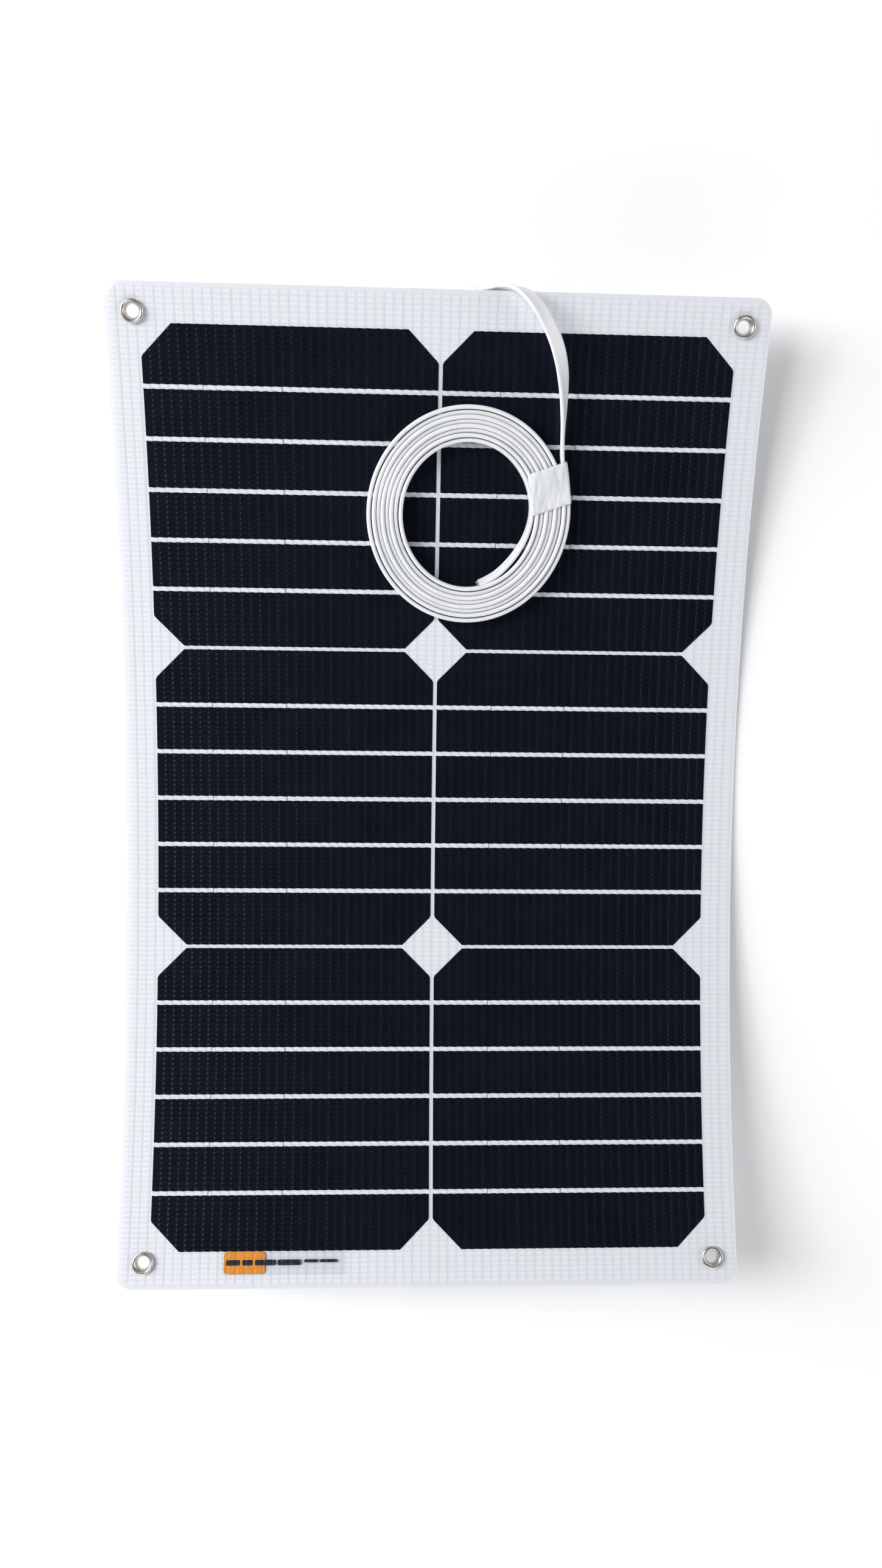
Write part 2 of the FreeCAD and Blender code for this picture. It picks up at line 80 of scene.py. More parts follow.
# The embossing
COLUMN_PITCH = 0.00396
LINE_PITCH = 0.0022032
LEAN = 0.00042                    # how far a column's valley leans across one line
VALLEY_WIDTH = 0.155              # of a column
SHALLOW = 0.82                    # depth of every other valley
CROWN = 0.30                      # fall from a cushion's middle to its sides
FURROW_DEPTH = 0.78               # of the lines across
FURROW_WIDTH = 0.15
EDGE_DEPTH = 0.42                 # even level near the sheet's edge
COLUMN_PHASES = (0.0, 0.13, 0.32, 0.68, 0.87)    # where grid lines lie in one column
LINE_PHASES = (0.0, 0.2, 0.5, 0.8)
FILM_RELIEF = 0.00024
WHITE_RELIEF = 0.00014
EDGE_BAND = 0.0024                # where the laminate thins towards its edge
EDGE_FALL = 0.00045

# Levels of the layers
CELL_LEVEL = -0.00065
WHITE_LEVEL = -0.00080
TAB_LEVEL = -0.00076
REAR_LEVEL = -0.00105
RIBBON_LEVEL = REAR_LEVEL + 0.00006
RIBBON_FOOT = REAR_LEVEL + 0.00001
FILM_WALL = 0.00028
CELL_THICK = 0.00020
CELL_RELIEF = 0.00004
CELL_WAVE = 0.00011               # waviness of the strips' edges
CELL_MARGIN = 0.0011              # how far the white layer reaches in under the strips
BACK_GRID = 0.0013

# The tabs in the gaps and the ribbons at the ends
TAB_WIDTH = 0.00042
TAB_THICK = 0.00010
TAB_ROUND = 0.00003
TAB_REACH = 0.0026                # half of a tab's length
TAB_INSETS = (0.025, CELL_WIDTH / 2 - 0.0040)
RIBBON_INSET = 0.0048             # from the outer rows' outer borders to the ribbon's middle
RIBBON_WIDTH = 0.0050

EYELET_INSET = 0.0115
EYELET_HOLE = 0.0036              # radius of the layers' holes
MM = 0.001

# The label: its lower edge and height, and (start, length, lower edge, upper edge) of its block
# and of the plain dark bars
LABEL_FOOT = -0.2140
LABEL_TALL = 0.0102
LABEL_WALL = 0.00010
LABEL_BLOCK = (0.0004, 0.0182, 0.0004, 0.0099)
LABEL_BARS = ((0.0014, 0.0062, 0.0040, 0.0064), (0.0086, 0.0046, 0.0040, 0.0064),
              (0.0142, 0.0092, 0.0040, 0.0064), (0.0244, 0.0102, 0.0040, 0.0064),
              (0.0362, 0.0062, 0.0051, 0.0064), (0.0432, 0.0078, 0.0051, 0.0064))

# The junction box, and the cable's way out of it
BOX_PLACE = (0.004, 0.180)
BOX_HALF = (0.028, 0.020)
BOX_CORNER = 0.005
BOOT_LENGTH = 0.0080
CABLE_DEPTH = 0.0037              # of the cable's line behind the back sheet

SLICES = ["bottom", "lower", "below_middle", "above_middle", "upper", "top"]

# The cable: flat, and standing on edge in a coil that winds inwards
CABLE_WIDTH = 0.0060
CABLE_THICK = 0.00182
CABLE_WAIST = 0.16                # share by which it is thinner between its cores
COIL_MIDDLE = (0.0128, 0.12885)
COIL_RADII = (0.0441, 0.04685)    # of the cable's own line, where the outer turn starts
COIL_TURNS = 8.217
COIL_STEPS = 24                   # points on each turn
COIL_PITCH = 0.00188
OUTER_GAP = 0.00042               # more room after the first turn
INNER_GAP = 0.00038               # and before the last
COIL_LEVEL = 0.0038               # of the cable's line in front of the sheet
TURN_LIFT = 0.00047               # every other turn lies a little higher or lower
TAIL_PEEL = 0.0016                # how far the loose inner end stands off the other turns
TAIL_LEAN = math.radians(21)
TAPE_PLACE = (0.0484, 0.1405)
TAPE_TURN = math.radians(17)
TAPE_HALF = (0.0089, 0.00875)     # across the turns, along them
TAPE_SLACK = 0.00018
TAPE_THICK = 0.00008


def on_sheet(u, s, n):
    """Points in the frame, from their places on the sheet."""
    angle = (np.asarray(s, float) - BALANCE_SHIFT) / FRONT_RADIUS
    reach = FRONT_RADIUS - np.asarray(n, float)
    return np.stack(np.broadcast_arrays(np.asarray(u, float), CONTACT_Y + reach * np.sin(angle),
                                        BACK_RADIUS - reach * np.cos(angle)), -1)


def direction(du, ds, dn, s):
    """A direction given across, along and out of the sheet at s."""
    angle = (np.asarray(s, float) - BALANCE_SHIFT) / FRONT_RADIUS
    return np.stack(np.broadcast_arrays(np.asarray(du, float),
                                        ds * np.cos(angle) - dn * np.sin(angle),
                                        ds * np.sin(angle) + dn * np.cos(angle)), -1)


class Place:
    """A flat local frame on the sheet: X across, Y along, Z out of the front, or turned about Z."""

    def __init__(self, u, s, n=0.0, turn=0.0):
        self.origin = on_sheet(u, s, n)
        c, d = math.cos(turn), math.sin(turn)
        self.axes = np.array([direction(c, d, 0, s), direction(-d, c, 0, s),
                              direction(0, 0, 1, s)])

    def put(self, points):
        return self.origin + np.asarray(points, float) @ self.axes


def unit(v):
    """The vectors at length one."""
    return v / np.linalg.norm(v, axis=-1, keepdims=True)


def smooth(t):
    """An even step from 0 to 1 as t goes from 0 to 1."""
    t = np.clip(t, 0, 1)
    return t * t * (3 - 2 * t)


# ---- meshes

def make_object(name, points, faces, material, normals=None, sharp=None):
    """A mesh piece with smooth shading, its own normals or edges sharp above an angle."""
    mesh = bpy.data.meshes.new(name)
    mesh.from_pydata(np.asarray(points).tolist(), [], [list(f) for f in faces])
    mesh.polygons.foreach_set("use_smooth", [True] * len(mesh.polygons))
    if sharp is not None:
        mesh.set_sharp_from_angle(angle=sharp)
    if normals is not None:
        mesh.normals_split_custom_set(normals.tolist())
    mesh.materials.append(material)
    made = bpy.data.objects.new(name, mesh)
    bpy.context.scene.collection.objects.link(made)
    return made


def grid_faces(rows, columns):
    """The squares of a grid of points, row by row."""
    first = np.arange(rows - 1)[:, None] * columns + np.arange(columns - 1)[None, :]
    return np.stack([first, first + 1, first + columns + 1, first + columns], -1).reshape(-1, 4)


def free_edges(faces):
    """The directed edges of the faces that no other face shares."""
    starts = faces.ravel()
    ends = np.roll(faces, -1, axis=1).ravel()
    size = int(faces.max()) + 1
    forward, backward = starts * size + ends, ends * size + starts
    alone = ~np.isin(forward, backward)
    return np.stack([starts[alone], ends[alone]], -1)


def wall_faces(edges, count):
    """Faces from directed edges to the same edges count points further on."""
    return np.stack([edges[:, 0], edges[:, 0] + count, edges[:, 1] + count, edges[:, 1]], -1)


def slab(u, s, top, bottom):
    """Points and faces of a closed slab over a grid on the sheet, between two levels."""
    points = np.concatenate([on_sheet(u, s, top), on_sheet(u, s, bottom)]).reshape(-1, 3)
    faces = grid_faces(*u.shape)
    walls = wall_faces(free_edges(faces), u.size)
    return points, np.concatenate([faces, walls, faces[:, ::-1] + u.size])


def merged(slabs):
    """The points and faces of several slabs as one."""
    firsts = np.cumsum([0] + [len(points) for points, _ in slabs])
    return (np.concatenate([points for points, _ in slabs]),
            np.concatenate([faces + first for (_, faces), first in zip(slabs, firsts)]))


def lines(low, high, pitch, phases):
    """Grid lines that follow a repeating pattern, with the two ends."""
    near = 0.00012
    first, last = math.floor(low / pitch), math.ceil(high / pitch)
    found = [(k + phase) * pitch for k in range(first, last + 1) for phase in phases]
    return np.array([low, *[x for x in found if low + near < x < high - near], high])


def rounded_grid(us, ss, middle=(0.0, 0.0), half=(HALF_WIDTH, HALF_LENGTH), radius=CORNER):
    """A grid over a rectangle whose corner squares are drawn in onto quarter discs."""
    u, s = np.meshgrid(us, ss)
    u, s = u - middle[0], s - middle[1]
    straight_u, straight_s = half[0] - radius, half[1] - radius
    a = np.clip((np.abs(u) - straight_u) / radius, 0, 1)
    b = np.clip((np.abs(s) - straight_s) / radius, 0, 1)
    u = np.sign(u) * (np.minimum(np.abs(u), straight_u) + radius * a * np.sqrt(1 - b * b / 2))
    s = np.sign(s) * (np.minimum(np.abs(s), straight_s) + radius * b * np.sqrt(1 - a * a / 2))
    return middle[0] + u, middle[1] + s


def eyelet_places():
    """(u, s) of the eyelets: bottom left, bottom right, top left, top right."""
    return [(x * (HALF_WIDTH - EYELET_INSET), y * (HALF_LENGTH - EYELET_INSET))
            for y in (-1, 1) for x in (-1, 1)]


def pierce(u, s):
    """Moves the points in an eyelet's hole out to its edge; says which points were inside."""
    inside = np.zeros(u.shape, bool)
    for cu, cs in eyelet_places():
        du, ds = u - cu, s - cs
        far = np.hypot(du, ds) + 1e-9
        hit = far < EYELET_HOLE
        u = np.where(hit, cu + du / far * EYELET_HOLE, u)
        s = np.where(hit, cs + ds / far * EYELET_HOLE, s)
        inside |= hit
    return u, s, inside


def edge_distance(u, s):
    """How far a point is inside the sheet's rounded outline."""
    du, ds = HALF_WIDTH - np.abs(u), HALF_LENGTH - np.abs(s)
    in_corner = (du < CORNER) & (ds < CORNER)
    return np.where(in_corner, CORNER - np.hypot(CORNER - du, CORNER - ds), np.minimum(du, ds))


def edge_fall(u, s):
    """How far the front lies below its level near the sheet's edge."""
    share = np.clip(1 - edge_distance(u, s) / EDGE_BAND, 0, 1)
    return EDGE_FALL * share * share


def relief(u, s):
    """The embossing, from 0 on a cushion's top to 1 in a valley; its lines wander a little."""
    wave = 0.00016 * np.sin(2 * np.pi * (u / COLUMN_PITCH + 0.2)) + 0.00008 * np.sin(u / 0.0031)
    line = (s + wave) / LINE_PITCH
    from_line = line - np.round(line)
    column = (u + LEAN * (line - np.floor(line) - 0.5)) / COLUMN_PITCH
    nearest = np.round(column)
    from_column = column - nearest
    valley = np.where(nearest % 2 == 0, 1.0, SHALLOW) * np.exp(-(from_column / VALLEY_WIDTH) ** 2)
    crown = CROWN * (2 * from_column) ** 2
    furrow = np.exp(-(from_line / FURROW_WIDTH) ** 2)
    depth = np.clip(FURROW_DEPTH * furrow + (1 - furrow) * np.maximum(valley, crown), 0, 1)
    inside = smooth((edge_distance(u, s) - 0.2 * EDGE_BAND) / EDGE_BAND)
    return depth * inside + EDGE_DEPTH * (1 - inside)


def sheet_normals(height, u, s):
    """Normals of a height over the sheet, from its slopes."""
    step = 0.00012
    du = (height(u + step, s) - height(u - step, s)) / (2 * step)
    ds = (height(u, s + step) - height(u, s - step)) / (2 * step)
    return unit(direction(-du, -ds, 1.0, s))


def sheet_piece(name, u, s, height, bottom, keep, material, closed=False, joined=None):
    """A skin over the sheet with a wall down to its bottom level along its free edges.

    height is a function of u and s, and keep picks faces of the grid. joined marks the points
    where the skin goes on in the next piece, so that it has no wall there. A closed piece has a
    face below as well. The points' "depth" says how deep in the embossing they lie.
    """
    count = u.size
    faces = grid_faces(*u.shape)[keep]
    top = on_sheet(u, s, height(u, s)).reshape(-1, 3)
    below = on_sheet(u, s, bottom).reshape(-1, 3)
    normals = sheet_normals(height, u, s).reshape(-1, 3)
    edges = free_edges(faces)
    if joined is not None:
        goes_on = joined.ravel()
        edges = edges[~(goes_on[edges[:, 0]] & goes_on[edges[:, 1]])]
    across = top[edges[:, 1]] - top[edges[:, 0]]
    outward = unit(np.cross(across, normals[edges[:, 0]]) + 1e-12)
    every = [faces, wall_faces(edges, count)]
    loops = [normals[faces].reshape(-1, 3), np.repeat(outward, 4, axis=0)]
    if closed:
        under = faces[:, ::-1] + count
        every.append(under)
        loops.append(-direction(0, 0, 1, s).reshape(-1, 3)[under - count].reshape(-1, 3))
    used, corners = np.unique(np.concatenate(every), return_inverse=True)
    points = np.concatenate([top, below])[used]
    piece = make_object(name, points, corners.reshape(-1, 4), material, np.concatenate(loops))
    depth = np.concatenate([relief(u, s).ravel(), np.ones(count)])[used]
    attribute = piece.data.attributes.new("depth", "FLOAT", "POINT")
    attribute.data.foreach_set("value", depth.astype(np.float32))
    return piece


def lathe(name, place, profile, material, steps=56):
    """A closed profile of (radius, height) turned about the place's Z."""
    angles = np.arange(steps) * 2 * math.pi / steps
    rings = np.stack([np.outer(np.cos(angles), profile[:, 0]),
                      np.outer(np.sin(angles), profile[:, 0]),
                      np.tile(profile[:, 1], (steps, 1))], -1)
    return ring_mesh(name, place.put(rings), material, wrap_rings=True)


def ring_mesh(name, rings, material, wrap_rings=False, caps=False, sharp=math.radians(50)):
    """A skin over rings of points: each ring joins the next, and each is closed round."""
    count, size = rings.shape[:2]
    k = np.arange(count if wrap_rings else count - 1)[:, None]
    i = np.arange(size)[None, :]
    here, there = k * size, (k + 1) % count * size
    following = (i + 1) % size
    faces = np.stack(np.broadcast_arrays(here + i, here + following, there + following, there + i),
                     -1).reshape(-1, 4).tolist()
    if caps:
        faces.append(list(range(size))[::-1])
        faces.append(list(range((count - 1) * size, count * size)))
    return make_object(name, rings.reshape(-1, 3), faces, material, sharp=sharp)


def softened(points, times):
    """Corner cutting, which turns a few given points into a round closed profile."""
    points = np.asarray(points, float)
    for _ in range(times):
        following = np.roll(points, -1, axis=0)
        cut = np.stack([0.75 * points + 0.25 * following, 0.25 * points + 0.75 * following], 1)
        points = cut.reshape(-1, points.shape[1])
    return points


def rounded_outline(half_x, half_y, radius, steps=8):
    """A rounded rectangle's points, counter-clockwise."""
    points = []
    for corner, (x, y) in enumerate(((1, 1), (-1, 1), (-1, -1), (1, -1))):
        for k in range(steps + 1):
            angle = (corner + k / steps) * math.pi / 2
            points.append((x * (half_x - radius) + radius * math.cos(angle),
                           y * (half_y - radius) + radius * math.sin(angle)))
    return np.array(points)


def stacked(name, place, half_x, half_y, radius, levels, material):
    """A rounded block from levels of (inset, height), rising."""
    rings = []
    for inset, height in levels:
        outline = rounded_outline(half_x - inset, half_y - inset, max(radius - inset, 0.0004))
        rings.append(place.put(np.column_stack([outline, np.full(len(outline), height)])))
    return ring_mesh(name, np.array(rings), material, caps=True, sharp=math.radians(32))


# ---- materials

def new_material(name):
    """A material with its node tree and its Principled node."""
    made = bpy.data.materials.new(name)
    made.use_nodes = True
    tree = made.node_tree
    return made, tree, tree.nodes["Principled BSDF"]


def add_node(tree, kind, **inputs):
    """A node with its inputs set by name."""
    made = tree.nodes.new(kind)
    for key, value in inputs.items():
        made.inputs[key.replace("_", " ")].default_value = value
    return made


def object_noise(tree, scale, detail=3.0):
    """Noise in the piece's own coordinates; scale is in waves a metre."""
    where = tree.nodes.new("ShaderNodeTexCoord")
    noise = add_node(tree, "ShaderNodeTexNoise", Scale=scale, Detail=detail)
    tree.links.new(where.outputs["Object"], noise.inputs["Vector"])
    return noise


def ramp(tree, source, low, high, start=0.0, end=1.0):
    """A colour between two, by a value between start and end."""
    made = tree.nodes.new("ShaderNodeValToRGB")
    made.color_ramp.elements[0].position, made.color_ramp.elements[1].position = start, end
    made.color_ramp.elements[0].color, made.color_ramp.elements[1].color = (*low, 1), (*high, 1)
    tree.links.new(source, made.inputs["Fac"])
    return made.outputs["Color"]


def span(tree, source, low, high, start=0.0, end=1.0):
    """A number between two, by a value between start and end."""
    made = tree.nodes.new("ShaderNodeMapRange")
    for key, value in zip(("From Min", "From Max", "To Min", "To Max"), (start, end, low, high)):
        made.inputs[key].default_value = value
    tree.links.new(source, made.inputs["Value"])
    return made.outputs["Result"]


def bump(tree, shader, height, strength, distance):
    """Bumps on a shader's surface, from a height."""
    made = add_node(tree, "ShaderNodeBump", Strength=strength, Distance=distance)
    tree.links.new(height, made.inputs["Height"])
    tree.links.new(made.outputs["Normal"], shader.inputs["Normal"])


def vary_roughness(tree, shader, noise, low, high):
    """Roughness that varies with noise."""
    tree.links.new(span(tree, noise.outputs["Fac"], low, high, 0.3, 0.7), shader.inputs["Roughness"])


def mixed(tree, share, first, second):
    """Two shaders mixed by a share of the second."""
    made = tree.nodes.new("ShaderNodeMixShader")
    for source, socket in zip((share, first, second), made.inputs):
        tree.links.new(source, socket)
    return made.outputs["Shader"]


def mottled(name, low, high, scale, rough=(0.4, 0.55), grain=None, metallic=0.0, specular=0.5):
    """A surface whose colour and roughness vary with noise, with a fine grain of bumps."""
    made, tree, shader = new_material(name)
    shader.inputs["Metallic"].default_value = metallic
    shader.inputs["Specular IOR Level"].default_value = specular
    noise = object_noise(tree, scale)
    tree.links.new(ramp(tree, noise.outputs["Fac"], low, high, 0.3, 0.7),
                   shader.inputs["Base Color"])
    vary_roughness(tree, shader, noise, *rough)
    if grain:
        fine = object_noise(tree, grain[0], 2.0)
        bump(tree, shader, fine.outputs["Fac"], grain[1], grain[2])
    return made


def depth_attribute(tree):
    """The depth in the embossing that the sheet's pieces carry."""
    made = tree.nodes.new("ShaderNodeAttribute")
    made.attribute_name = "depth"
    return made.outputs["Fac"]


def film_material(name, clear, deep):
    """Clear film: seen through, with painted shade in its valleys, a faint haze there and gloss by
    the angle.
    """
    made, tree, shader = new_material(name)
    tree.nodes.remove(shader)
    depth = depth_attribute(tree)
    through = tree.nodes.new("ShaderNodeBsdfTransparent")
    # painted shade: what shows through the film is darker and cooler deeper in the embossing's
    # valleys
    tree.links.new(ramp(tree, depth, clear, deep), through.inputs["Color"])
    milk = add_node(tree, "ShaderNodeBsdfDiffuse", Color=(0.62, 0.76, 1.0, 1.0))
    shaded_and_hazy = mixed(tree, span(tree, depth, 0.0, 0.006, 0.25, 1.0), through.outputs["BSDF"],
                 milk.outputs["BSDF"])
    gloss = add_node(tree, "ShaderNodeBsdfGlossy", Color=(0.74, 0.87, 1.0, 1.0))
    vary_roughness(tree, gloss, object_noise(tree, 220.0), 0.20, 0.27)
    angle = add_node(tree, "ShaderNodeLayerWeight", Blend=0.5)
    steep = tree.nodes.new("ShaderNodeMath")
    steep.operation = "POWER"
    steep.inputs[1].default_value = 4.0
    tree.links.new(angle.outputs["Facing"], steep.inputs[0])
    glossy = mixed(tree, span(tree, steep.outputs["Value"], 0.0125, 0.8), shaded_and_hazy,
                   gloss.outputs["BSDF"])
    tree.links.new(glossy, tree.nodes["Material Output"].inputs["Surface"])
    return made


def white_material():
    """The white layer behind the cells, with painted cool shade in its valleys."""
    made, tree, shader = new_material("white_filler")
    # painted shade: the white is darker and cooler where the embossing is deeper
    painted_valley_shade = ramp(tree, depth_attribute(tree), (0.785, 0.792, 0.812), (0.675, 0.692, 0.733), 0.1)
    tree.links.new(painted_valley_shade, shader.inputs["Base Color"])
    noise = object_noise(tree, 900.0)
    vary_roughness(tree, shader, noise, 0.4, 0.55)
    bump(tree, shader, noise.outputs["Fac"], 0.25, 0.00006)
    return made


def cell_material():
    """Near-black blue silicon with a faint grain."""
    made, tree, shader = new_material("cell_silicon")
    broad = object_noise(tree, 45.0)
    tree.links.new(ramp(tree, broad.outputs["Fac"], (0.0024, 0.0030, 0.0075),
                        (0.0033, 0.0041, 0.0105), 0.35, 0.65), shader.inputs["Base Color"])
    fine = object_noise(tree, 1500.0)
    vary_roughness(tree, shader, fine, 0.42, 0.6)
    shader.inputs["Specular IOR Level"].default_value = 0.05
    bump(tree, shader, fine.outputs["Fac"], 0.2, 0.00003)
    return made


def tape_material():
    """Milky adhesive tape: half seen through, in streaks along it, with a soft gloss."""
    made, tree, shader = new_material("milky_tape")
    where = tree.nodes.new("ShaderNodeTexCoord")
    drawn_out = add_node(tree, "ShaderNodeMapping", Rotation=(0, 0, math.radians(-17)),
                         Scale=(1.0, 0.09, 1.0))
    noise = add_node(tree, "ShaderNodeTexNoise", Scale=620.0, Detail=3.0)
    tree.links.new(where.outputs["Object"], drawn_out.inputs["Vector"])
    tree.links.new(drawn_out.outputs["Vector"], noise.inputs["Vector"])
    tree.links.new(ramp(tree, noise.outputs["Fac"], (0.76, 0.78, 0.82), (0.89, 0.90, 0.92), 0.3, 0.7),
                   shader.inputs["Base Color"])
    vary_roughness(tree, shader, noise, 0.24, 0.38)
    through = tree.nodes.new("ShaderNodeBsdfTransparent")
    milky = mixed(tree, span(tree, noise.outputs["Fac"], 0.58, 0.80, 0.35, 0.65),
                  through.outputs["BSDF"], shader.outputs["BSDF"])
    tree.links.new(milky, tree.nodes["Material Output"].inputs["Surface"])
    return made


def make_materials():
    """Every material, by a short key."""
    return {
        # each film's second colour is painted shade, seen through the deepest parts of its valleys
        "film": film_material("clear_film_embossed", (0.99, 0.99, 0.992), (0.955, 0.96, 0.972)),
        "label_film": film_material("clear_label", (0.96, 0.965, 0.97), (0.93, 0.94, 0.96)),
        "white": white_material(),
        "cell": cell_material(),
        "tape": tape_material(),
        "back": mottled("back_sheet_polyester", (0.74, 0.75, 0.77), (0.80, 0.81, 0.83), 60.0,
                        (0.5, 0.62), (2600.0, 0.5, 0.00008)),
        "tab": mottled("tinned_tab", (0.42, 0.41, 0.40), (0.52, 0.51, 0.50), 400.0, (0.3, 0.42),
                       (1800.0, 0.2, 0.00004), metallic=0.8),
        "eyelet": mottled("nickel_plate", (0.50, 0.48, 0.45), (0.64, 0.62, 0.58), 450.0,
                          (0.28, 0.42), (2400.0, 0.14, 0.00004), metallic=1.0),
        "cable": mottled("white_pvc", (0.715, 0.725, 0.74), (0.76, 0.77, 0.785), 120.0, (0.34, 0.44),
                         (1500.0, 0.12, 0.00005)),
        "copper": mottled("tinned_copper", (0.58, 0.53, 0.49), (0.76, 0.72, 0.69), 900.0,
                          (0.25, 0.4), (3000.0, 0.1, 0.00003), metallic=1.0),
        "plastic": mottled("black_housing_plastic", (0.010, 0.010, 0.011), (0.020, 0.020, 0.022),
                           300.0, (0.42, 0.55), (3500.0, 0.35, 0.00006)),
        "rubber": mottled("grey_boot_rubber", (0.55, 0.56, 0.57), (0.64, 0.65, 0.66), 260.0,
                          (0.55, 0.7), (2500.0, 0.3, 0.00006)),
        "pad": mottled("adhesive_foam", (0.10, 0.10, 0.10), (0.16, 0.16, 0.16), 900.0, (0.7, 0.85),
                       (1800.0, 0.8, 0.0002)),
        "orange": mottled("label_orange", (0.72, 0.255, 0.022), (0.80, 0.30, 0.036), 300.0,
                          (0.35, 0.45), (900.0, 0.1, 0.00005)),
        "ink": mottled("label_ink", (0.012, 0.012, 0.016), (0.02, 0.02, 0.026), 500.0, (0.35, 0.45)),
        "diode": mottled("diode_epoxy", (0.012, 0.012, 0.012), (0.03, 0.03, 0.03), 700.0,
                         (0.4, 0.5), (2500.0, 0.2, 0.00004)),
        "brass": mottled("terminal_brass", (0.60, 0.45, 0.18), (0.72, 0.56, 0.26), 600.0,
                         (0.25, 0.38), (2500.0, 0.1, 0.00003), metallic=1.0),
    }


# ---- the sheet's zones

class Zone:
    """A stretch of the sheet between gaps in the cells, at an end or across one joint between slices.
    """

    def __init__(self, index, low, high):
        self.name = f"zone_{index}"
        self.low, self.high = low, high
        self.slices = SLICES[max(index - 1, 0):index + 1]

    def follow(self, piece, slot, nodes):
        """The piece takes the place of the named layers of its slices; it moves with its slice where
        the zone has only one.
        """
        if len(self.slices) == 1:
            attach(piece, self.slices[0] + "_slice")
        else:
            tuple(on_sheet(0, self.low, 0))
            tuple(on_sheet(0, self.high, 0))
            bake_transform(piece)
        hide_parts(*[f"{node}_{part}" for node in nodes for part in self.slices])


def make_zones():
    """Zones that start and end in the gaps beside the end strips, even about each joint."""
    half = ROW_PITCH / 2
    gap = ROW_GAP / 2 + STRIP_WIDTHS[0] + STRIP_GAP / 2
    inner = [half - gap, half + gap, 3 * half - gap]
    edges = [-HALF_LENGTH, *[-x for x in reversed(inner)], *inner, HALF_LENGTH]
    return [Zone(k, low, high) for k, (low, high) in enumerate(zip(edges, edges[1:]))]


def strip_spans():
    """(near, far) distances of a half row's three strips from the row's border."""
    near, spans = ROW_GAP / 2, []
    for width in STRIP_WIDTHS:
        spans.append((near, near + width))
        near += width + STRIP_GAP
    return spans


def cell_cut(distance):
    """How much of a cell's side its corner takes off at a distance from the row's border."""
    return np.clip(CORNER_CUT + ROW_GAP / 2 - distance, 0, CORNER_CUT)


def well_inside_cells(u, s, margin):
    """Which places lie on a cell strip, further in than a margin."""
    row = np.clip(np.round(s / ROW_PITCH), -1, 1)
    distance = ROW_PITCH / 2 - np.abs(s - row * ROW_PITCH)
    side = np.minimum(np.abs(u) - COLUMN_GAP / 2, COLUMN_GAP / 2 + CELL_WIDTH - np.abs(u))
    in_strip = np.zeros(u.shape, bool)
    for near, far in strip_spans():
        in_strip |= (distance > near + margin) & (distance < far - margin)
    return in_strip & (side > margin + cell_cut(distance))


def film_height(u, s):
    """The front face of the film."""
    return -FILM_RELIEF * relief(u, s) - edge_fall(u, s)


def white_height(u, s):
    """The front face of the white layer."""
    return WHITE_LEVEL - WHITE_RELIEF * relief(u, s) - 0.6 * edge_fall(u, s)


def flat(level):
    """A height that is the same everywhere."""
    return lambda u, s: np.full(np.shape(u), level)


def make_skins(zone, materials):
    """The film, the white layer and the back sheet over one zone."""
    us = lines(-HALF_WIDTH, HALF_WIDTH, COLUMN_PITCH, COLUMN_PHASES)
    ss = lines(zone.low, zone.high, LINE_PITCH, LINE_PHASES)
    u, s, inside = pierce(*rounded_grid(us, ss))
    faces = grid_faces(*u.shape)
    keep = ~inside.ravel()[faces].all(axis=1)
    joined = np.zeros(u.shape, bool)
    joined[0] = zone.low > -HALF_LENGTH
    joined[-1] = zone.high < HALF_LENGTH
    film = sheet_piece("film_" + zone.name, u, s, film_height, film_height(u, s) - FILM_WALL,
                       keep, materials["film"], joined=joined)
    zone.follow(film, "clear_film", ("front_film", "front_filler"))
    centre_u, centre_s = u.ravel()[faces].mean(axis=1), s.ravel()[faces].mean(axis=1)
    shown = keep & ~well_inside_cells(centre_u, centre_s, CELL_MARGIN)
    white = sheet_piece("white_layer_" + zone.name, u, s, white_height, REAR_LEVEL, shown,
                        materials["white"], joined=joined)
    zone.follow(white, "filler", ("rear_filler",))
    make_back(zone, materials)


def make_back(zone, materials):
    """The back sheet: a closed slab on a coarser grid."""
    us = lines(-HALF_WIDTH, HALF_WIDTH, BACK_GRID, (0.0,))
    ss = lines(zone.low, zone.high, BACK_GRID, (0.0,))
    u, s, inside = pierce(*rounded_grid(us, ss))
    keep = ~inside.ravel()[grid_faces(*u.shape)].all(axis=1)
    back = sheet_piece("back_sheet_" + zone.name, u, s, flat(REAR_LEVEL), -STACK, keep,
                       materials["back"], closed=True)
    zone.follow(back, "back_sheet", ("back_sheet",))


def strip_rows(zone):
    """(border, low, high) of each row of strips in a zone, with the cell border nearest to it."""
    for middle in ROW_MIDDLES:
        for side in (-1, 1):
            border = middle + side * ROW_PITCH / 2
            for near, far in strip_spans():
                low, high = sorted((border - side * near, border - side * far))
                if zone.low < (low + high) / 2 < zone.high:
                    yield border, low, high


def strip_slab(centre, border, low, high):
    """One strip, with slightly wavy edges and its part of the cell's cut corners."""
    t, s = np.meshgrid(np.linspace(-1, 1, 64), lines(low, high, LINE_PITCH / 2, (0.0,)))
    u = centre + t * (CELL_WIDTH / 2 - cell_cut(np.abs(s - border)))
    u[:, [0, -1]] += CELL_WAVE * np.sin(2 * np.pi * s[:, [0, -1]] / LINE_PITCH)
    s[[0, -1]] += CELL_WAVE * np.sin(2 * np.pi * u[[0, -1]] / COLUMN_PITCH)
    return slab(u, s, CELL_LEVEL - CELL_RELIEF * relief(u, s), CELL_LEVEL - CELL_THICK)


def make_cells(zone, materials):
    """The cell strips of one zone."""
    half_pitch = (COLUMN_GAP + CELL_WIDTH) / 2
    slabs = [strip_slab(column * half_pitch, *row) for row in strip_rows(zone)
             for column in (-1, 1)]
    cells = make_object("cells_" + zone.name, *merged(slabs), materials["cell"],
                        sharp=math.radians(40))
    zone.follow(cells, "cell", ("cell_strips",))


